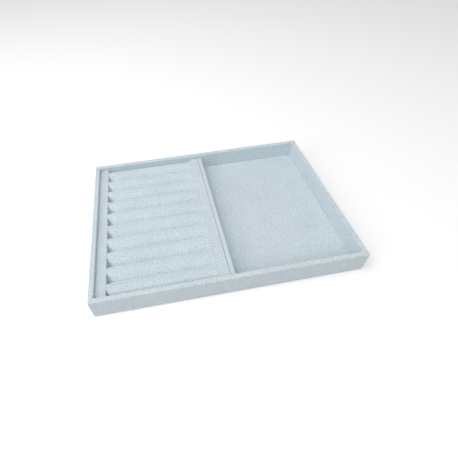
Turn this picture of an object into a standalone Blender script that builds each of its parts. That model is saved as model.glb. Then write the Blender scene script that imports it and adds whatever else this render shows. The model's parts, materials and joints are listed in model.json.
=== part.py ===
"""Jewellery display tray: a low box of boards covered in velvet, split by a divider.

The left half holds a lift-out ring insert, a wrapped card with two end rails and a row of
padded ring rolls between them. The right half is an open compartment with a padded floor.

Metres, +Z up. The origin is the middle of the underside, +X runs along the tray towards the
open compartment, and +Y runs to its back.
"""

import math

import bmesh
import bpy
from mathutils import Vector

MM = 0.001

# The tray as a whole
TRAY_LENGTH = 350 * MM
TRAY_DEPTH = 240 * MM
TRAY_HEIGHT = 35 * MM
DIVIDER_PLACE_SHARE = 0.5023

# Boards, card, velvet and paper
WALL_BOARD = 4.8 * MM
DIVIDER_BOARD = 4.4 * MM
BASE_BOARD = 3 * MM
PAD_CARD = 2 * MM
INSERT_CARD = 2 * MM
VELVET = 0.7 * MM
BACKING_PAPER = 0.5 * MM

# How the pieces are finished and fitted
GLUE_LINE = 0.1 * MM
FOAM_EASE = 0.3 * MM
BOARD_ARRIS = 0.5 * MM
VELVET_FOLD = 1 * MM
TRAY_HEM = 14 * MM
PANEL_HEM = 10 * MM
BACKING_MARGIN = 4 * MM

# How far the divider, the insert's rails and the rolls' crests stay below the rim
DIVIDER_DROP = 6 * MM
RAIL_DROP = 6 * MM
ROLL_DROP = 5.5 * MM

# The ring insert and its running clearances in the tray
INSERT_GAP_WALL = 0.5 * MM
INSERT_GAP_DIVIDER = 0.8 * MM
INSERT_GAP_ENDS = 0.5 * MM
INSERT_SEAT = 0.2 * MM
RAIL_WIDTH = 12.8 * MM

# The ring rolls: how high the crown bulges, and how the ends are rounded in plan and eased
ROLL_COUNT = 10
ROLL_CROWN = 5 * MM
ROLL_CORNER = 4 * MM
ROLL_END_DIP = 1 * MM
ROLL_GAP = 0.3 * MM
ROLL_END_GAP = 0.4 * MM

# Facets of the rounded shapes
CROWN_STEPS = 12
CORNER_STEPS = 4
FOLD_STEPS = 3
ARRIS_STEPS = 1

# What one face of velvet adds to a board, and the whole thickness of a covered wall
SKIN = VELVET + GLUE_LINE
WALL = WALL_BOARD + 2 * SKIN
DIVIDER = DIVIDER_BOARD + 2 * SKIN

# Outer faces, and the faces that the two compartments see
HALF_LENGTH = TRAY_LENGTH / 2
HALF_DEPTH = TRAY_DEPTH / 2
INSIDE_X = HALF_LENGTH - WALL
INSIDE_Y = HALF_DEPTH - WALL
DIVIDER_X = TRAY_LENGTH * DIVIDER_PLACE_SHARE - HALF_LENGTH
DIVIDER_LEFT = DIVIDER_X - DIVIDER / 2
DIVIDER_RIGHT = DIVIDER_X + DIVIDER / 2

# Heights of the tray's layers, from the underside up
HEM_BOTTOM = BACKING_PAPER + GLUE_LINE
BOARD_BOTTOM = HEM_BOTTOM + SKIN
BASE_TOP = BOARD_BOTTOM + BASE_BOARD
BOARD_TOP = TRAY_HEIGHT - SKIN
FLOOR_BOTTOM = BASE_TOP + GLUE_LINE
LINING_TOP = FLOOR_BOTTOM + VELVET

# The floor pad's layers
PAD_CARD_BOTTOM = FLOOR_BOTTOM + SKIN
PAD_CARD_TOP = PAD_CARD_BOTTOM + PAD_CARD
PAD_TOP = PAD_CARD_TOP + SKIN

# The ring insert's sides and layers
INSERT_LEFT = INSERT_GAP_WALL - INSIDE_X
INSERT_RIGHT = DIVIDER_LEFT - INSERT_GAP_DIVIDER
INSERT_HALF_DEPTH = INSIDE_Y - INSERT_GAP_ENDS
INSERT_BOTTOM = LINING_TOP + INSERT_SEAT
INSERT_CARD_BOTTOM = INSERT_BOTTOM + SKIN
INSERT_CARD_TOP = INSERT_CARD_BOTTOM + INSERT_CARD
INSERT_DECK = INSERT_CARD_TOP + SKIN + GLUE_LINE

# The ring rolls' places between the rails
ROLL_PITCH = 2 * INSERT_HALF_DEPTH / ROLL_COUNT
ROLL_WIDTH = ROLL_PITCH - ROLL_GAP
ROLL_LEFT = INSERT_LEFT + RAIL_WIDTH + ROLL_END_GAP
ROLL_RIGHT = INSERT_RIGHT - RAIL_WIDTH - ROLL_END_GAP
ROLL_CREST = TRAY_HEIGHT - ROLL_DROP
ROLL_SPRING = ROLL_CREST - ROLL_CROWN
FOAM_SKIN = VELVET + FOAM_EASE

# Linear colour and roughness of each stuff
ICE_BLUE_VELVET = ((0.58, 0.67, 0.72), 0.95)
FIBREBOARD = ((0.47, 0.34, 0.21), 0.8)
GREY_CARD = ((0.33, 0.32, 0.30), 0.85)
PALE_PAPER = ((0.62, 0.66, 0.68), 0.9)
WHITE_FOAM = ((0.78, 0.77, 0.72), 0.95)

CORNER_SIGNS = ((-1, -1), (1, -1), (1, 1), (-1, 1))


def clear_scene():
    for obj in list(bpy.data.objects):
        bpy.data.objects.remove(obj, do_unlink=True)


def make_collection(name):
    collection = bpy.data.collections.new(name)
    bpy.context.scene.collection.children.link(collection)
    return collection


def make_material(name, stuff):
    """A material for one piece, from the colour and roughness of its stuff."""
    colour, roughness = stuff
    material = bpy.data.materials.new(name)
    material.use_nodes = True
    shader = material.node_tree.nodes["Principled BSDF"]
    shader.inputs["Base Color"].default_value = (*colour, 1)
    shader.inputs["Roughness"].default_value = roughness
    shader.inputs["Metallic"].default_value = 0
    material.diffuse_color = (*colour, 1)
    return material


def place(tray, name, bm, centre, stuff, parent=None):
    """Turns a bmesh drawn about its own centre into a named piece that stands at centre."""
    mesh = bpy.data.meshes.new(name)
    bm.to_mesh(mesh)
    bm.free()
    mesh.materials.append(make_material(name, stuff))
    piece = bpy.data.objects.new(name, mesh)
    tray.objects.link(piece)
    piece.location = centre
    if parent:
        piece.parent = parent
        piece.location = centre - parent.location
    return piece


def face_outwards(bm):
    """Makes the faces of a closed or open skin look away from its middle."""
    bmesh.ops.recalc_face_normals(bm, faces=bm.faces)
    outward = sum(f.calc_area() * f.normal.dot(f.calc_center_median()) for f in bm.faces)
    if outward < 0:
        bmesh.ops.reverse_faces(bm, faces=bm.faces)


def round_edges(piece, width, steps, method):
    """Rounds every edge with method NONE, or the marked folds with method WEIGHT."""
    bevel = piece.modifiers.new("rounded_edges", "BEVEL")
    bevel.width = width
    bevel.segments = steps
    bevel.limit_method = method


def thicken(piece, thickness):
    """Gives a skin its thickness, on its inner side."""
    solidify = piece.modifiers.new("cloth_thickness", "SOLIDIFY")
    solidify.thickness = thickness
    solidify.offset = -1
    solidify.use_even_offset = True
    solidify.use_quality_normals = True


def board(tray, name, low, high, stuff, parent=None):
    """A flat board between two opposite corners, its arrises eased."""
    low = Vector(low)
    high = Vector(high)
    bm = bmesh.new()
    bmesh.ops.create_cube(bm, size=1)
    bmesh.ops.scale(bm, vec=high - low, verts=bm.verts)
    piece = place(tray, name, bm, (low + high) / 2, stuff, parent)
    round_edges(piece, BOARD_ARRIS, ARRIS_STEPS, "NONE")
    return piece


def sheet(tray, name, low, high, stuff):
    """A thin flat sheet between two opposite corners, cut square."""
    low = Vector(low)
    high = Vector(high)
    bm = bmesh.new()
    bmesh.ops.create_cube(bm, size=1)
    bmesh.ops.scale(bm, vec=high - low, verts=bm.verts)
    return place(tray, name, bm, (low + high) / 2, stuff)


def velvet_wrap(tray, name, centre, folds, capped, round_corners=True, parent=None):
    """Velvet glued round a rectangular piece, with its outer face on the given fold lines.

    Each fold line is (half length, half depth, height above centre), from the velvet's first
    cut edge to its last, or to the edge of its flat top if the wrap is capped. Folds are
    rounded, and so are outer corners, while an inner corner stays a crease.
    """
    bm = bmesh.new()
    marked = bm.edges.layers.float.new("bevel_weight_edge")
    half_x, half_y, height = folds[0]
    corners = [bm.verts.new((x * half_x, y * half_y, height)) for x, y in CORNER_SIGNS]
    fold_edges = [bm.edges.new((corners[i - 1], corners[i])) for i in range(len(corners))]
    last_height = height
    for number, (half_x, half_y, height) in enumerate(folds[1:], start=1):
        grown = bmesh.ops.extrude_edge_only(bm, edges=fold_edges)["geom"]
        verts = {item for item in grown if isinstance(item, bmesh.types.BMVert)}
        for vert in verts:
            vert.co.x = math.copysign(half_x, vert.co.x)
            vert.co.y = math.copysign(half_y, vert.co.y)
            vert.co.z = height
        fold_edges = [e for e in bm.edges if e.verts[0] in verts and e.verts[1] in verts]
        corner_edges = {e for v in verts for e in v.link_edges} - set(fold_edges)
        if capped or number < len(folds) - 1:
            for edge in fold_edges:
                edge[marked] = 1
        if round_corners and height > last_height:
            for edge in corner_edges:
                edge[marked] = 1
        last_height = height
    if capped:
        bmesh.ops.contextual_create(bm, geom=fold_edges)
    face_outwards(bm)
    piece = place(tray, name, bm, Vector(centre), ICE_BLUE_VELVET, parent)
    round_edges(piece, VELVET_FOLD, FOLD_STEPS, "WEIGHT")
    thicken(piece, VELVET)
    return piece


def wrapped_panel(tray, name, low, high, card_name, card_low, card_high, parent=None):
    """A card with velvet over its top and edges, hemmed underneath."""
    board(tray, card_name, card_low, card_high, GREY_CARD, parent)
    half = (Vector(high) - Vector(low)) / 2
    hem_x = half.x - PANEL_HEM
    hem_y = half.y - PANEL_HEM
    folds = [(hem_x, hem_y, -half.z), (half.x, half.y, -half.z), (half.x, half.y, half.z)]
    centre = (Vector(low) + Vector(high)) / 2
    return velvet_wrap(tray, name, centre, folds, capped=True, parent=parent)


def wrapped_bar(tray, name, low, high, core_name, round_corners, parent=None):
    """A bar of fibreboard with velvet over its top and sides, open underneath."""
    skin = Vector((SKIN, SKIN, 0))
    core_high = Vector(high) - skin - Vector((0, 0, SKIN))
    board(tray, core_name, Vector(low) + skin, core_high, FIBREBOARD, parent)
    half = (Vector(high) - Vector(low)) / 2
    folds = [(half.x, half.y, -half.z), (half.x, half.y, half.z)]
    centre = (Vector(low) + Vector(high)) / 2
    return velvet_wrap(tray, name, centre, folds, True, round_corners, parent)


def roll_section(half_width, foot, spring, crest):
    """Across a roll: straight sides up to the spring line, and an arc from one to the other."""
    rise = crest - spring
    radius = (half_width ** 2 + rise ** 2) / (2 * rise)
    reach = math.asin(half_width / radius)
    section = [(-half_width, foot)]
    for step in range(CROWN_STEPS + 1):
        angle = reach * (2 * step / CROWN_STEPS - 1)
        section.append((radius * math.sin(angle), crest - radius * (1 - math.cos(angle))))
    section.append((half_width, foot))
    return section


def roll_stations(half_length, corner):
    """Places along a roll, from end to end, each with how much the roll is drawn in there.

    The draw runs from 1 at the very ends to 0 where a rounded corner meets the straight side.
    """
    far_end = []
    for step in range(CORNER_STEPS + 1):
        angle = math.pi / 2 * (1 - step / CORNER_STEPS)
        far_end.append((half_length - corner * (1 - math.cos(angle)), 1 - math.sin(angle)))
    near_end = [(-along, draw) for along, draw in reversed(far_end)]
    return near_end + far_end


def crowned_roll(half_length, half_width, foot, spring, crest, corner, closed):
    """A crowned roll, its corners rounded in plan and its crown eased down to both ends.

    Heights are from the piece's own centre. A grid is shaped by the roll's sections, one at
    each station, and its ends are capped. A closed roll has an underside, an open one is a skin.
    """
    stations = roll_stations(half_length, corner)
    sections = []
    for along, draw in stations:
        drawn_crest = crest - ROLL_END_DIP * draw
        sections.append(roll_section(half_width - corner * draw, foot, spring, drawn_crest))
    last_station = len(stations) - 1
    last_point = len(sections[0]) - 1
    bm = bmesh.new()
    bmesh.ops.create_grid(bm, x_segments=last_station, y_segments=last_point, size=1)
    ends = {0: {}, last_station: {}}
    for vert in bm.verts:
        station = round((vert.co.x + 1) / 2 * last_station)
        point = round((vert.co.y + 1) / 2 * last_point)
        vert.co = (stations[station][0], *sections[station][point])
        if station in ends:
            ends[station][point] = vert
    for end in ends.values():
        bm.faces.new([end[point] for point in range(last_point + 1)])
    if closed:
        bmesh.ops.holes_fill(bm, edges=[e for e in bm.edges if e.is_boundary], sides=0)
    face_outwards(bm)
    return bm


def build_carcass(tray):
    """The boards under the velvet: base, four walls butted at the corners, and the paper."""
    wall_outer_x = HALF_LENGTH - SKIN
    wall_outer_y = HALF_DEPTH - SKIN
    wall_inner_x = wall_outer_x - WALL_BOARD
    wall_inner_y = wall_outer_y - WALL_BOARD
    base_x = wall_inner_x - GLUE_LINE
    base_y = wall_inner_y - GLUE_LINE
    paper_x = HALF_LENGTH - BACKING_MARGIN
    paper_y = HALF_DEPTH - BACKING_MARGIN
    sheet(tray, "backing_paper", (-paper_x, -paper_y, 0), (paper_x, paper_y, BACKING_PAPER), PALE_PAPER)
    board(tray, "base_board", (-base_x, -base_y, BOARD_BOTTOM), (base_x, base_y, BASE_TOP), FIBREBOARD)
    for name, side in (("front_wall_board", -1), ("back_wall_board", 1)):
        near, far = sorted((side * wall_inner_y, side * wall_outer_y))
        low = (-wall_outer_x, near, BOARD_BOTTOM)
        high = (wall_outer_x, far, BOARD_TOP)
        board(tray, name, low, high, FIBREBOARD)
    for name, side in (("left_wall_board", -1), ("right_wall_board", 1)):
        near, far = sorted((side * wall_inner_x, side * wall_outer_x))
        low = (near, -base_y, BOARD_BOTTOM)
        high = (far, base_y, BOARD_TOP)
        board(tray, name, low, high, FIBREBOARD)


def build_covering(tray):
    """One strip of velvet round the walls, from its hem below to the floor inside."""
    mid_height = TRAY_HEIGHT / 2
    folds = [
        (HALF_LENGTH - TRAY_HEM, HALF_DEPTH - TRAY_HEM, HEM_BOTTOM - mid_height),
        (HALF_LENGTH, HALF_DEPTH, HEM_BOTTOM - mid_height),
        (HALF_LENGTH, HALF_DEPTH, TRAY_HEIGHT - mid_height),
        (INSIDE_X, INSIDE_Y, TRAY_HEIGHT - mid_height),
        (INSIDE_X, INSIDE_Y, FLOOR_BOTTOM - mid_height),
    ]
    velvet_wrap(tray, "wall_cover", (0, 0, mid_height), folds, capped=False)


def build_divider(tray):
    """The wrapped divider, butted between the front and back walls, and the lined floor."""
    end_y = INSIDE_Y - GLUE_LINE
    low = (DIVIDER_LEFT, -end_y, FLOOR_BOTTOM)
    high = (DIVIDER_RIGHT, end_y, TRAY_HEIGHT - DIVIDER_DROP)
    wrapped_bar(tray, "divider_cover", low, high, "divider_board", round_corners=False)
    lining_low = (GLUE_LINE - INSIDE_X, -end_y, FLOOR_BOTTOM)
    lining_high = (DIVIDER_LEFT - GLUE_LINE, end_y, LINING_TOP)
    sheet(tray, "floor_lining", lining_low, lining_high, ICE_BLUE_VELVET)


def build_floor_pad(tray):
    """The wrapped card glued to the floor of the open compartment."""
    low = (DIVIDER_RIGHT + GLUE_LINE, GLUE_LINE - INSIDE_Y, FLOOR_BOTTOM)
    high = (INSIDE_X - GLUE_LINE, INSIDE_Y - GLUE_LINE, PAD_TOP)
    card_low = (low[0] + SKIN, low[1] + SKIN, PAD_CARD_BOTTOM)
    card_high = (high[0] - SKIN, high[1] - SKIN, PAD_CARD_TOP)
    wrapped_panel(tray, "pad_cover", low, high, "pad_card", card_low, card_high)


def build_insert_frame(tray, lift):
    """The insert's wrapped card, and the two rails that stand on its ends."""
    low = (INSERT_LEFT, -INSERT_HALF_DEPTH, INSERT_BOTTOM)
    high = (INSERT_RIGHT, INSERT_HALF_DEPTH, INSERT_CARD_TOP + SKIN)
    card_low = (low[0] + SKIN, low[1] + SKIN, INSERT_CARD_BOTTOM)
    card_high = (high[0] - SKIN, high[1] - SKIN, INSERT_CARD_TOP)
    wrapped_panel(tray, "insert_card_cover", low, high, "insert_card", card_low, card_high, lift)
    rails = (("left_rail", INSERT_LEFT), ("right_rail", INSERT_RIGHT - RAIL_WIDTH))
    for name, left in rails:
        rail_low = (left, -INSERT_HALF_DEPTH, INSERT_DECK)
        rail_high = (left + RAIL_WIDTH, INSERT_HALF_DEPTH, TRAY_HEIGHT - RAIL_DROP)
        wrapped_bar(tray, name + "_cover", rail_low, rail_high, name, True, lift)


def build_ring_rolls(tray, lift):
    """The foam rolls and the velvet over each, from the back of the insert to its front."""
    centre_x = (ROLL_LEFT + ROLL_RIGHT) / 2
    centre_z = (INSERT_DECK + ROLL_CREST) / 2
    half_length = (ROLL_RIGHT - ROLL_LEFT) / 2
    half_width = ROLL_WIDTH / 2
    foot = INSERT_DECK - centre_z
    spring = ROLL_SPRING - centre_z
    crest = ROLL_CREST - centre_z
    for number in range(1, ROLL_COUNT + 1):
        centre_y = INSERT_HALF_DEPTH - (number - 1 / 2) * ROLL_PITCH
        centre = Vector((centre_x, centre_y, centre_z))
        skin = crowned_roll(half_length, half_width, foot, spring, crest, ROLL_CORNER, False)
        cover = place(tray, f"ring_roll_cover_{number:02d}", skin, centre, ICE_BLUE_VELVET, lift)
        thicken(cover, VELVET)
        foam_length = half_length - FOAM_SKIN
        foam_width = half_width - FOAM_SKIN
        foam_spring = spring - FOAM_SKIN
        foam_crest = crest - FOAM_SKIN
        foam_corner = ROLL_CORNER - FOAM_SKIN
        body = crowned_roll(foam_length, foam_width, foot, foam_spring, foam_crest, foam_corner, True)
        place(tray, f"ring_roll_foam_{number:02d}", body, centre, WHITE_FOAM, lift)


def make_lift_point(tray):
    """The empty that carries the ring insert, in the middle of its underside."""
    lift = bpy.data.objects.new("ring_insert_lift", None)
    lift.location = ((INSERT_LEFT + INSERT_RIGHT) / 2, 0, INSERT_BOTTOM)
    tray.objects.link(lift)
    return lift


def shade(tray):
    """Shades the round faces smooth and keeps the folds and arrises sharp."""
    for piece in tray.objects:
        if piece.type == "MESH":
            piece.data.shade_smooth()
            piece.data.set_sharp_from_angle(angle=math.radians(40))


def main():
    clear_scene()
    tray = make_collection("display_tray")
    build_carcass(tray)
    build_covering(tray)
    build_divider(tray)
    build_floor_pad(tray)
    lift = make_lift_point(tray)
    build_insert_frame(tray, lift)
    build_ring_rolls(tray, lift)
    shade(tray)


main()
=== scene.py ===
"""The looks of a velvet display tray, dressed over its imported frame.

Each piece of velvet or foam is a detailed skin that stands for its plain solid: folds with
their real roundness, mitred seams, and ring rolls of drawn-in velvet over foam. The boards,
cards and paper keep their solids and get a finish.
"""

import json
import math

import bmesh
import bpy
from mathutils import Matrix, Vector, noise


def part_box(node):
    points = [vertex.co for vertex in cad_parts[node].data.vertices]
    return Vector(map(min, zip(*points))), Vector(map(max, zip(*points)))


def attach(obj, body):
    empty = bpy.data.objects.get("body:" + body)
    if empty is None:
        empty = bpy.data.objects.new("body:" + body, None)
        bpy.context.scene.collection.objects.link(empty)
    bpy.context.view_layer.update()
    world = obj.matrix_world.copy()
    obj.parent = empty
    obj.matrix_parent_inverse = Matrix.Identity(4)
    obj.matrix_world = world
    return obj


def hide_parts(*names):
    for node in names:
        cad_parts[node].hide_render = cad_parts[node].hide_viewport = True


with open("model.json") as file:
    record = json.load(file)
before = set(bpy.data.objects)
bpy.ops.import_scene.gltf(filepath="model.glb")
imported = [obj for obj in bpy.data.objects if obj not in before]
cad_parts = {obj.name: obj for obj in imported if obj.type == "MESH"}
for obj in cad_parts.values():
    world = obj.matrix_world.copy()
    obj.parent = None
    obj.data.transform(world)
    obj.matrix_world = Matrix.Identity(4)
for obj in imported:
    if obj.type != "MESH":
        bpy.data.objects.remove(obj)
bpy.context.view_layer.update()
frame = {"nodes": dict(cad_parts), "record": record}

MM = 0.001

# The photograph's frame and optics, in pixels
PHOTO_SIZE = 458
FOCAL_PIXELS = 316.0
OPTICAL_CENTRE_X = 189.6
OPTICAL_CENTRE_Y = 178.5

# Where the camera stands, how it is turned in degrees, and the nearest that it sees
CAMERA_PLACE = Vector((-73.3, -298.3, 387.5)) * MM
CAMERA_TURN = -7.68
CAMERA_DIP = 44.23
CAMERA_ROLL = -2.73
CAMERA_NEAR = 10 * MM

# The studio's lamps: the way to each, its distance, its size and its power in watts
LAMPS = {
    "soft_key": ((-0.42, 0, 0.91), 1.6, 1, 8.3),
    "front_fill": ((0, -0.6, 0.8), 2, 1.3, 7.6),
    "side_fill": ((-0.8, -0.3, 0.5), 2, 1.2, 7.8),
}

# How bright the surround is as a light, against the 1 that the camera and a mirror see
SKY_LEVEL = 0.465

# The floor: how far it reaches each way, how far it lies below the tray, how pale it is to the
# light that bounces off it, and its glow to the camera, which lifts it to white
FLOOR_REACH = 6
FLOOR_DROP = 0.2 * MM
FLOOR_TONE = 0.65
FLOOR_GLOW = 0.12

# The darker and the lighter tone of each stuff, and the tint of the velvet's sheen
VELVET_TONES = ((0.445, 0.525, 0.565), (0.735, 0.835, 0.88))
FIBREBOARD_TONES = ((0.36, 0.245, 0.145), (0.58, 0.435, 0.275))
CARD_TONES = ((0.26, 0.25, 0.235), (0.41, 0.4, 0.375))
PAPER_TONES = ((0.57, 0.61, 0.63), (0.68, 0.72, 0.74))
FOAM_TONES = ((0.68, 0.67, 0.62), (0.84, 0.83, 0.78))
SHEEN_TINT = (0.9, 0.95, 1, 1)

# The middle of random patches, which run from 0 to 1
MIDDLE = 0.5

# The numbers of the sockets that a mix node has for colours, and of the output for an object's
# own places
MIX_SHARE = 0
MIX_LOW = 6
MIX_HIGH = 7
MIX_RESULT = 2
OBJECT_PLACE = 3

# The velvet's thickness, and the radius of its folds, of the tighter folds on the divider and
# the rails, and of an upright inner crease
VELVET = 0.7 * MM
FOLD_RADIUS = 0.8 * MM
BAR_FOLD_RADIUS = 0.5 * MM
CREASE_RADIUS = 0.3 * MM

# How deep a mitred seam lies, and how far the hems reach in underneath
SEAM_DEPTH = 0.2 * MM
TRAY_HEM = 14 * MM
PANEL_HEM = 10 * MM

# How finely the cloth is drawn: along a stretch, next to a fold, round a fold, round a corner
CLOTH_STEP = 4 * MM
EDGE_STEPS = (0.5 * MM, 1.4 * MM)
FOLD_STEPS = 5
CORNER_STEPS = 4

# A step next to a fold is drawn where the stretch is more than this many times as long
STEP_ROOM = 3

# A fold's radius over the first of these is how near the top its points count as level with it,
# and over the second how near each other they count as one
LEVEL_PART = 50
WELD_PART = 1000

# The angle between two faces, in degrees, over which their edge looks sharp
SHARP_ANGLE = 50

# How far glued velvet strays from a true surface, in slow swells and in small ripples
SWELL = 0.08 * MM
SWELL_SPAN = 26 * MM
RIPPLE = 0.04 * MM
RIPPLE_SPAN = 7 * MM

# The ring rolls: their crown, lower towards the right end, and their shoulders, which touch
ROLL_COUNT = 10
ROLL_CROWN = 6.9 * MM
END_CROWN = 3.1 * MM
CROWN_FADE = 15 * MM
ROLL_SHOULDER = 1.2 * MM
SHOULDER_SWELL = 0.2 * MM

# How far along a roll its two ends are rounded, and how far the front corner and the crest are
# drawn in there
LEFT_END = (8.5 * MM, 8.5 * MM, 0.4 * MM)
RIGHT_END = (1.2 * MM, 1 * MM, 0.5 * MM)

# How full that rounding is, where 1 cuts the corner straight and 2 is a true round
END_FULLNESS = 1.25

# The back corner is drawn in by this share of the front corner's, and both slope back out over
# this depth below the shoulder
BACK_SHARE = 0.35
POCKET_DEPTH = 6 * MM

# How far the pile fills the gaps at a roll's two ends and at the two rails' outer sides
LEFT_END_TOUCH = 0.45 * MM
RIGHT_END_TOUCH = 0.5 * MM
LEFT_RAIL_TOUCH = 0.4 * MM
RIGHT_RAIL_TOUCH = 0.3 * MM

# How finely a roll is drawn: half its crown, a shoulder, a side, and along its rounded ends
CROWN_STEPS = 10
SHOULDER_STEPS = 5
SIDE_STEPS = 8
END_STEP = 1 * MM
LEAST_END_STEPS = 3

# The puckers at a roll's left end: their depth, how far along it they reach, their span across
# it, and how many times as long as that they are
PUCKER = 0.22 * MM
PUCKER_REACH = 9 * MM
PUCKER_SPAN = 2.4 * MM
PUCKER_STRETCH = 4

# The corners of a rectangle, round from its front left one
CORNER_SIGNS = ((-1, -1), (1, -1), (1, 1), (-1, 1))


class Wire:
    """One output of a material's nodes, used like a number in sums."""

    def __init__(self, finish, socket):
        self.finish = finish
        self.socket = socket

    def maths(self, operation, first, second):
        return self.finish.node("ShaderNodeMath", {"operation": operation}, {0: first, 1: second})

    def __add__(self, other):
        return self.maths("ADD", self, other)

    def __sub__(self, other):
        return self.maths("SUBTRACT", self, other)

    def __mul__(self, other):
        return self.maths("MULTIPLY", self, other)

    def __rsub__(self, other):
        return self.maths("SUBTRACT", other, self)

    __radd__ = __add__
    __rmul__ = __mul__


class Finish:
    """A material in the making, with one method that adds any node to it."""

    def __init__(self, name):
        self.material = bpy.data.materials.new(name)
        self.material.use_nodes = True
        self.tree = self.material.node_tree
        self.shader = self.tree.nodes["Principled BSDF"]

    def node(self, kind, settings=None, sockets=None, output=0):
        """Adds a node: its settings first, then the values or wires of its sockets."""
        made = self.tree.nodes.new(kind)
        for name, value in (settings or {}).items():
            setattr(made, name, value)
        for name, value in (sockets or {}).items():
            self.feed(made.inputs[name], value)
        return Wire(self, made.outputs[output])

    def feed(self, socket, value):
        """Links a wire to a socket, or sets the socket to a plain value."""
        if isinstance(value, Wire):
            self.tree.links.new(value.socket, socket)
        else:
            socket.default_value = value

    def place(self):
        """Where a point lies on the object, in metres."""
        return self.node("ShaderNodeTexCoord", output=OBJECT_PLACE)

    def patches(self, place, size, detail=2, roughness=0.5):
        """Soft random patches of about the given size, from 0 to 1 about a middle of 0.5."""
        sockets = {"Vector": place, "Scale": 1 / size, "Detail": detail, "Roughness": roughness}
        return self.node("ShaderNodeTexNoise", {"noise_dimensions": "3D"}, sockets)

    def stretched(self, place, amount):
        """A place drawn out by an amount along each axis."""
        return self.node("ShaderNodeVectorMath", {"operation": "MULTIPLY"}, {0: place, 1: amount})

    def blend(self, share, low, high):
        """A colour between two, by a share from 0 to 1."""
        settings = {"data_type": "RGBA", "clamp_factor": True}
        sockets = {MIX_SHARE: share, MIX_LOW: (*low, 1), MIX_HIGH: (*high, 1)}
        return self.node("ShaderNodeMix", settings, sockets, output=MIX_RESULT)

    def raised(self, height, strength, depth):
        """The surface's direction, with small relief on it."""
        sockets = {"Strength": strength, "Distance": depth, "Height": height}
        return self.node("ShaderNodeBump", None, sockets)

    def set(self, **values):
        """Feeds the shader's own sockets, named with underscores for spaces."""
        for name, value in values.items():
            self.feed(self.shader.inputs[name.replace("_", " ")], value)


def varied(value, *layers):
    """A value that sways about itself with patches, each by its own strength."""
    for patches, strength in layers:
        value = value + (patches - MIDDLE) * strength
    return value


def velvet_finish():
    """Short pale ice-blue pile, mottled where it lies unevenly."""
    finish = Finish("ice_blue_velvet")
    place = finish.place()
    pile = finish.patches(place, 0.45 * MM, detail=3, roughness=0.6)
    mottle = finish.patches(place, 1.7 * MM, detail=2, roughness=0.55)
    nap = finish.patches(place, 38 * MM, detail=1)
    tone = varied(MIDDLE, (mottle, 1.9), (pile, 1.1), (nap, 0.25))
    shade = finish.blend(tone, *VELVET_TONES)
    relief = finish.raised(pile * 0.6 + mottle * 0.4, strength=0.5, depth=0.3 * MM)
    finish.set(Base_Color=shade, Roughness=0.95, Normal=relief)
    finish.set(Sheen_Weight=0.75, Sheen_Roughness=0.6, Sheen_Tint=SHEEN_TINT)
    finish.set(Specular_IOR_Level=0.15)
    return finish.material


def fibreboard_finish():
    """Raw sanded fibreboard: matted brown fibres, in slightly darker and lighter clouds."""
    finish = Finish("raw_fibreboard")
    place = finish.place()
    fibres = finish.patches(finish.stretched(place, (0.35, 1, 1)), 0.5 * MM, detail=4, roughness=0.7)
    clouds = finish.patches(place, 9 * MM, detail=3)
    tone = varied(MIDDLE, (fibres, 1.6), (clouds, 0.8))
    shade = finish.blend(tone, *FIBREBOARD_TONES)
    relief = finish.raised(fibres, strength=0.35, depth=0.15 * MM)
    finish.set(Base_Color=shade, Roughness=varied(0.78, (clouds, 0.2)), Normal=relief)
    return finish.material


def card_finish():
    """Grey recycled card, flecked with darker and lighter pulp."""
    finish = Finish("grey_card")
    place = finish.place()
    flecks = finish.patches(place, 0.7 * MM, detail=3, roughness=0.75)
    clouds = finish.patches(place, 14 * MM, detail=2)
    tone = varied(MIDDLE, (flecks, 1.8), (clouds, 0.5))
    shade = finish.blend(tone, *CARD_TONES)
    relief = finish.raised(flecks, strength=0.25, depth=0.08 * MM)
    finish.set(Base_Color=shade, Roughness=0.85, Normal=relief)
    return finish.material


def paper_finish():
    """Matte backing paper, with a faint laid grain and a slight wave from its glue."""
    finish = Finish("backing_paper")
    place = finish.place()
    grain = finish.patches(finish.stretched(place, (0.3, 1, 1)), 0.6 * MM, detail=3, roughness=0.6)
    waves = finish.patches(place, 18 * MM, detail=1)
    tone = varied(MIDDLE, (grain, 0.9), (waves, 0.5))
    shade = finish.blend(tone, *PAPER_TONES)
    relief = finish.raised(grain * 0.3 + waves * 0.7, strength=0.4, depth=0.25 * MM)
    finish.set(Base_Color=shade, Roughness=varied(0.88, (grain, 0.1)), Normal=relief)
    return finish.material


def foam_finish():
    """White padding with fine open cells."""
    finish = Finish("white_padding")
    place = finish.place()
    cells = finish.patches(place, 0.9 * MM, detail=2, roughness=0.6)
    shade = finish.blend(varied(MIDDLE, (cells, 2)), *FOAM_TONES)
    relief = finish.raised(cells, strength=0.6, depth=0.3 * MM)
    finish.set(Base_Color=shade, Roughness=0.95, Normal=relief)
    return finish.material


def spread(length):
    """Places along a stretch of cloth: closer next to the folds at both its ends."""
    near = [step for step in EDGE_STEPS if step < length / STEP_ROOM]
    first = near[-1] if near else 0
    clear = length - 2 * first
    count = max(1, round(clear / CLOTH_STEP))
    between = [first + clear * number / count for number in range(1, count)]
    return [0, *near, *between, *(length - step for step in reversed(near)), length]


def straight(start, end):
    """The points of a stretch of cloth from start to end."""
    length = (end - start).length
    return [start.lerp(end, place / length) for place in spread(length)]


def folded_line(bends, fold):
    """A line through square bends, each rounded to a fold's radius."""
    bends = [Vector(bend) for bend in bends]
    line = []
    start = bends[0]
    for before, bend, after in zip(bends, bends[1:], bends[2:]):
        back = (before - bend).normalized() * fold
        on = (after - bend).normalized() * fold
        line += straight(start, bend + back)[:-1]
        middle = bend + back + on
        for step in range(FOLD_STEPS):
            angle = math.pi / 2 * step / FOLD_STEPS
            line.append(middle - on * math.cos(angle) - back * math.sin(angle))
        start = bend + on
    return line + straight(start, bends[-1])


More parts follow.
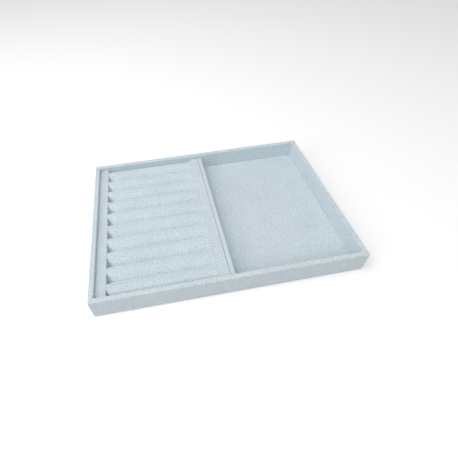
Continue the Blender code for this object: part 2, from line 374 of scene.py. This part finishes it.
def ring_of_points(bm, half, corner, shares, height, seam):
    """One closed row of points round a covered piece, from its front left corner.

    The middle of each rounded corner rises by seam, to draw the mitre between two cut edges.
    Shares places the points between corners, along the front and back and along the two ends.
    """
    arcs = []
    for number, (sign_x, sign_y) in enumerate(CORNER_SIGNS):
        middle = Vector((sign_x * (half.x - corner), sign_y * (half.y - corner), height))
        arc = []
        for step in range(CORNER_STEPS + 1):
            angle = math.pi + math.pi / 2 * (number + step / CORNER_STEPS)
            arc.append(middle + corner * Vector((math.cos(angle), math.sin(angle), 0)))
        arc[CORNER_STEPS // 2].z += seam
        arcs.append(arc)
    row = []
    for number, arc in enumerate(arcs):
        row += arc
        after = arcs[(number + 1) % len(arcs)][0]
        row += [arc[-1].lerp(after, share) for share in shares[number % 2]]
    return [bm.verts.new(point) for point in row]


def skin_between(bm, row, following):
    """Faces from one closed row of points to the next."""
    for index in range(len(row)):
        after = (index + 1) % len(row)
        bm.faces.new((row[index], row[after], following[after], following[index]))


def skin_rows(bm, rows):
    """Faces between open rows of points, each as long as the next."""
    for near, far in zip(rows, rows[1:]):
        for index in range(len(near) - 1):
            bm.faces.new((near[index], near[index + 1], far[index + 1], far[index]))


def flat_top(bm, row, shares):
    """Fills the last row of a capped wrap with a flat top, lined up with the points round it."""
    lengths = [CORNER_STEPS + 1 + len(shares[number % 2]) for number in range(len(CORNER_SIGNS))]
    starts = [sum(lengths[:number]) + CORNER_STEPS for number in range(len(lengths))]
    closed = row + row
    front, right, back, left = (
        closed[start:start + len(shares[number % 2]) + 2] for number, start in enumerate(starts)
    )
    back = back[::-1]
    left = left[::-1]
    rows = [front]
    for low, high in zip(left[1:-1], right[1:-1]):
        inner = [bm.verts.new((vert.co.x, low.co.y, vert.co.z)) for vert in front[1:-1]]
        rows.append([low, *inner, high])
    rows.append(back)
    skin_rows(bm, rows)


def velvet_wrap(bends, half, centre, capped, fold):
    """Velvet wrapped round a rectangular piece.

    Each bend is how far it lies in from the piece's outline, and its height. In a capped wrap,
    a flat top takes over from the first point that is level with the last bend, and only a hem
    underneath has mitres.
    """
    line = folded_line(bends, fold)
    if capped:
        top = bends[-1][1] - fold / LEVEL_PART
        flat = [index for index, point in enumerate(line) if point.y >= top]
        line = line[:flat[0] + 1]
    sides = (2 * half.x, 2 * half.y)
    shares = [[place / length for place in spread(length)[1:-1]] for length in sides]
    bm = bmesh.new()
    row = None
    for index, point in enumerate(line):
        step = line[min(index + 1, len(line) - 1)] - line[max(index - 1, 0)]
        seam = -SEAM_DEPTH * step.normalized().x
        if capped:
            seam = max(seam, 0)
            corner = max(fold - point.x, 0)
        else:
            corner = max(fold - point.x, CREASE_RADIUS)
        if capped and index == len(line) - 1:
            corner = 0
            seam = 0
        inner_half = half - Vector((point.x, point.x))
        following = ring_of_points(bm, inner_half, corner, shares, point.y, seam)
        if row:
            skin_between(bm, row, following)
        row = following
    if capped:
        flat_top(bm, row, shares)
    bmesh.ops.translate(bm, verts=bm.verts, vec=(centre.x, centre.y, 0))
    bmesh.ops.remove_doubles(bm, verts=bm.verts, dist=fold / WELD_PART)
    return bm


def laid_cloth(low, high):
    """Velvet laid flat, cut square."""
    bm = bmesh.new()
    across = spread(high.x - low.x)
    rows = []
    for along in spread(high.y - low.y):
        rows.append([bm.verts.new((low.x + place, low.y + along, high.z)) for place in across])
    skin_rows(bm, rows)
    return bm


def roll_outline(half_width, foot, crest, crown, drawn_in):
    """Across a roll: up its front side, round the shoulder, over the crown and down the back.

    Where its front and back corners are drawn in, the sides slope back out below the shoulder,
    down to the pocket's depth.
    """
    radius = (half_width ** 2 + crown ** 2) / (2 * crown)
    reach = math.asin((half_width - ROLL_SHOULDER) / (radius - ROLL_SHOULDER))
    middle = crest - radius
    shoulder_height = middle + (radius - ROLL_SHOULDER) * math.cos(reach)
    half = []
    for step in range(CROWN_STEPS):
        angle = reach * step / CROWN_STEPS
        half.append(Vector((radius * math.sin(angle), middle + radius * math.cos(angle))))
    for step in range(SHOULDER_STEPS):
        angle = reach + (math.pi / 2 - reach) * step / SHOULDER_STEPS
        across = half_width - ROLL_SHOULDER * (1 - math.sin(angle))
        half.append(Vector((across, shoulder_height + ROLL_SHOULDER * math.cos(angle))))
    shoulder = Vector((half_width, shoulder_height))
    side_foot = Vector((half_width - SHOULDER_SWELL, foot))
    below = [shoulder.lerp(side_foot, step / SIDE_STEPS) for step in range(SIDE_STEPS + 1)]
    front = [Vector((-point.x, point.y)) for point in reversed(half[1:] + below)]
    back = [point.copy() for point in half + below]
    for points, outwards in ((front, -drawn_in[0]), (back, drawn_in[1])):
        for point in points:
            point.x += outwards * min(1, max(0, shoulder_height - point.y) / POCKET_DEPTH)
    return front + back


def rounded_end(shape):
    """Places in from a roll's very end, each with how far its front and crest come in there."""
    reach, side, dip = shape
    steps = max(LEAST_END_STEPS, round(reach / END_STEP))
    places = []
    for step in range(steps):
        angle = math.pi / 2 * step / steps
        draw = 1 - math.sin(angle) ** (2 / END_FULLNESS)
        places.append((reach * (1 - math.cos(angle) ** (2 / END_FULLNESS)), side * draw, dip * draw))
    return places


def roll_stations(length):
    """Places along a roll from its left end, each with how far its front and crest come in."""
    left = rounded_end(LEFT_END)
    right = [(length - place, side, dip) for place, side, dip in rounded_end(RIGHT_END)]
    clear = length - LEFT_END[0] - RIGHT_END[0]
    middle = [(LEFT_END[0] + place, 0, 0) for place in spread(clear)]
    return left + middle + right[::-1]


def stuffed_roll(low, high, closed):
    """A ring roll between two corners: crowned, with its ends' corners drawn in, most in front.

    Rungs from its front to its back close its ends. A closed roll has a flat underside, an open
    one has none.
    """
    full_width = (high.y - low.y) / 2
    centre_y = (high.y + low.y) / 2
    bm = bmesh.new()
    rows = []
    length = high.x - low.x
    for along, side, dip in roll_stations(length):
        fade = max(0, 1 - (length - along) / CROWN_FADE)
        crown = ROLL_CROWN - (ROLL_CROWN - END_CROWN) * fade ** 2
        back = BACK_SHARE * side
        half_width = full_width - (side + back) / 2
        outline = roll_outline(half_width, low.z, high.z - dip, crown, (side, back))
        middle = centre_y + (side - back) / 2
        rows.append([bm.verts.new((low.x + along, middle + point.x, point.y)) for point in outline])
    last = len(rows[0]) - 1
    for near, far in zip(rows, rows[1:]):
        for index in range(last):
            bm.faces.new((near[index], far[index], far[index + 1], near[index + 1]))
        if closed:
            bm.faces.new((near[last], far[last], far[0], near[0]))
    for end, order in ((rows[0], 1), (rows[-1], -1)):
        for index in range(last // 2):
            rung = [end[index], end[index + 1], end[last - index - 1], end[last - index]]
            if rung[1] == rung[2]:
                rung.pop(1)
            bm.faces.new(rung[::order])
    return bm


def stray(bm):
    """Lets glued velvet stray a little from a true surface."""
    bm.normal_update()
    for vert in bm.verts:
        swell = SWELL * noise.noise(vert.co / SWELL_SPAN)
        ripple = RIPPLE * noise.noise(vert.co / RIPPLE_SPAN)
        vert.co += vert.normal * (swell + ripple)


def pucker(bm, low):
    """Small puckers where a roll's velvet is drawn in at its left end."""
    along = PUCKER_STRETCH * PUCKER_SPAN
    bm.normal_update()
    for vert in bm.verts:
        share = max(0, 1 - (vert.co.x - low.x) / PUCKER_REACH) ** 2
        x, y, z = vert.co
        place = Vector((x / along, y / PUCKER_SPAN, z / PUCKER_SPAN))
        vert.co -= vert.normal * (PUCKER * share * abs(noise.noise(place)))


def dress(node, suffix, bm, body, material, thickness=0):
    """Turns a skin into the piece that stands for a node and rides on its body.

    Its thickness is added on the inner side.
    """
    name = node + suffix
    mesh = bpy.data.meshes.new(name)
    bm.to_mesh(mesh)
    bm.free()
    mesh.shade_smooth()
    mesh.set_sharp_from_angle(angle=math.radians(SHARP_ANGLE))
    mesh.materials.append(material)
    piece = bpy.data.objects.new(name, mesh)
    bpy.context.scene.collection.objects.link(piece)
    if thickness:
        cloth = piece.modifiers.new("cloth_thickness", "SOLIDIFY")
        cloth.thickness = thickness
        cloth.offset = -1
        cloth.use_quality_normals = True
    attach(piece, body)
    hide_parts(node)
    return piece


def cover_piece(node, body, bends, capped=True, fold=FOLD_RADIUS, touch=(0, 0)):
    """Dresses a node in velvet that is glued round it, and whose pile fills the gaps beside it.

    Touch is how far it reaches past the node on the left and on the right.
    """
    low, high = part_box(node)
    low.x -= touch[0]
    high.x += touch[1]
    half = (high - low).xy / 2
    bm = velvet_wrap(bends, half, (low + high) / 2, capped, fold)
    stray(bm)
    piece = dress(node, "_velvet", bm, body, velvet, VELVET)


def cover_walls():
    """One strip round the walls: the hem below, up, over the rim and down to the base board."""
    low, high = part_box("wall_cover")
    board_low, board_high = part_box("front_wall_board")
    wall = 2 * (board_low.y - low.y) + (board_high.y - board_low.y)
    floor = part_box("floor_lining")[0].z
    bends = [(TRAY_HEM, low.z), (0, low.z), (0, high.z), (wall, high.z), (wall, floor)]
    cover_piece("wall_cover", "tray", bends, capped=False)


def cover_panel(node, body):
    """Velvet over a card and round its edges, hemmed underneath."""
    low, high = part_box(node)
    bends = [(PANEL_HEM, low.z), (0, low.z), (0, high.z), (PANEL_HEM, high.z)]
    cover_piece(node, body, bends)


def cover_bar(node, body, touch=(0, 0)):
    """Velvet over the top and sides of a divider or a rail, open underneath."""
    low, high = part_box(node)
    bends = [(0, low.z), (0, high.z), (PANEL_HEM, high.z)]
    cover_piece(node, body, bends, fold=BAR_FOLD_RADIUS, touch=touch)


def line_floor():
    """The velvet that lies on the base board."""
    low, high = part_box("floor_lining")
    bm = laid_cloth(low, high)
    stray(bm)
    piece = dress("floor_lining", "_velvet", bm, "tray", velvet, high.z - low.z)


def stuff_rolls():
    """The ten ring rolls: foam, and the velvet drawn over each."""
    for number in range(1, ROLL_COUNT + 1):
        foam_node = f"ring_roll_foam_{number:02d}"
        cover_node = f"ring_roll_cover_{number:02d}"
        low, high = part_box(cover_node)
        foam_low, foam_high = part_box(foam_node)
        core = stuffed_roll(foam_low, foam_high, closed=True)
        padding = dress(foam_node, "_padding", core, "ring_insert", foam)
        low.y -= SHOULDER_SWELL
        high.y += SHOULDER_SWELL
        low.x -= LEFT_END_TOUCH
        high.x += RIGHT_END_TOUCH
        skin = stuffed_roll(low, high, closed=False)
        stray(skin)
        pucker(skin, low)
        cover = dress(cover_node, "_velvet", skin, "ring_insert", velvet, VELVET)


def finish_boards():
    """The boards, cards and paper keep their solids and each get the finish of their stuff."""
    finishes = {"fibreboard": fibreboard_finish(), "card": card_finish(), "paper": paper_finish()}
    for part in frame["record"]["subparts"]:
        if part["material_slot"] in finishes:
            node = frame["nodes"][part["node"]]
            node.data.materials.clear()
            node.data.materials.append(finishes[part["material_slot"]])


def set_camera():
    """The photograph's viewpoint: in front, a little to the left, looking down."""
    camera = bpy.data.cameras.new("viewpoint")
    camera.lens = camera.sensor_width * FOCAL_PIXELS / PHOTO_SIZE
    camera.shift_x = 0.5 - OPTICAL_CENTRE_X / PHOTO_SIZE
    camera.shift_y = OPTICAL_CENTRE_Y / PHOTO_SIZE - 0.5
    camera.clip_start = CAMERA_NEAR
    viewpoint = bpy.data.objects.new("viewpoint", camera)
    turn = Matrix.Rotation(math.radians(CAMERA_TURN), 4, "Z")
    dip = Matrix.Rotation(math.radians(90 - CAMERA_DIP), 4, "X")
    roll = Matrix.Rotation(math.radians(CAMERA_ROLL), 4, "Z")
    viewpoint.matrix_world = Matrix.Translation(CAMERA_PLACE) @ turn @ dip @ roll
    bpy.context.scene.collection.objects.link(viewpoint)
    bpy.context.scene.camera = viewpoint


def light_studio():
    """Wide soft lamps, and an even pale surround that looks white and also mirrors white."""
    for name, (direction, distance, size, power) in LAMPS.items():
        lamp = bpy.data.lights.new(name, "AREA")
        lamp.shape = "DISK"
        lamp.size = size
        lamp.energy = power
        stand = bpy.data.objects.new(name, lamp)
        direction = Vector(direction).normalized()
        stand.location = direction * distance
        stand.rotation_euler = direction.to_track_quat("Z", "Y").to_euler()
        bpy.context.scene.collection.objects.link(stand)

    world = bpy.data.worlds.new("pale_surround")
    bpy.context.scene.world = world
    world.use_nodes = True
    tree = world.node_tree
    sky = tree.nodes["Background"]
    sky.inputs["Color"].default_value = (1, 1, 1, 1)
    path = tree.nodes.new("ShaderNodeLightPath")
    seen = path.outputs["Is Camera Ray"]
    for ray in ("Is Glossy Ray", "Is Transmission Ray"):
        either = tree.nodes.new("ShaderNodeMath")
        either.operation = "MAXIMUM"
        tree.links.new(seen, either.inputs[0])
        tree.links.new(path.outputs[ray], either.inputs[1])
        seen = either.outputs[0]
    level = tree.nodes.new("ShaderNodeMapRange")
    level.inputs["To Min"].default_value = SKY_LEVEL
    level.inputs["To Max"].default_value = 1
    tree.links.new(seen, level.inputs["Value"])
    tree.links.new(level.outputs["Result"], sky.inputs["Strength"])


def lay_floor():
    """A plain pale floor that looks white to the camera and keeps the tray's shadow."""
    bm = bmesh.new()
    bmesh.ops.create_grid(bm, x_segments=4, y_segments=4, size=FLOOR_REACH)
    mesh = bpy.data.meshes.new("studio_floor")
    bm.to_mesh(mesh)
    bm.free()
    floor = bpy.data.objects.new("studio_floor", mesh)
    floor.location.z = -FLOOR_DROP
    finish = Finish("white_floor")
    path = finish.node("ShaderNodeLightPath")
    shade = finish.blend(path, (FLOOR_TONE, FLOOR_TONE, FLOOR_TONE), (1, 1, 1))
    glow = finish.blend(path, (0, 0, 0), (FLOOR_GLOW, FLOOR_GLOW, FLOOR_GLOW))
    finish.set(Base_Color=shade, Roughness=1.0, Specular_IOR_Level=0.0)
    finish.set(Emission_Color=glow, Emission_Strength=1.0)
    mesh.materials.append(finish.material)
    bpy.context.scene.collection.objects.link(floor)


set_camera()
light_studio()
lay_floor()
velvet = velvet_finish()
foam = foam_finish()
finish_boards()
cover_walls()
cover_bar("divider_cover", "tray")
line_floor()
cover_panel("pad_cover", "tray")
cover_panel("insert_card_cover", "ring_insert")
cover_bar("left_rail_cover", "ring_insert", touch=(LEFT_RAIL_TOUCH, 0))
cover_bar("right_rail_cover", "ring_insert", touch=(0, RIGHT_RAIL_TOUCH))
stuff_rolls()

bpy.context.scene.view_settings.view_transform = "Standard"
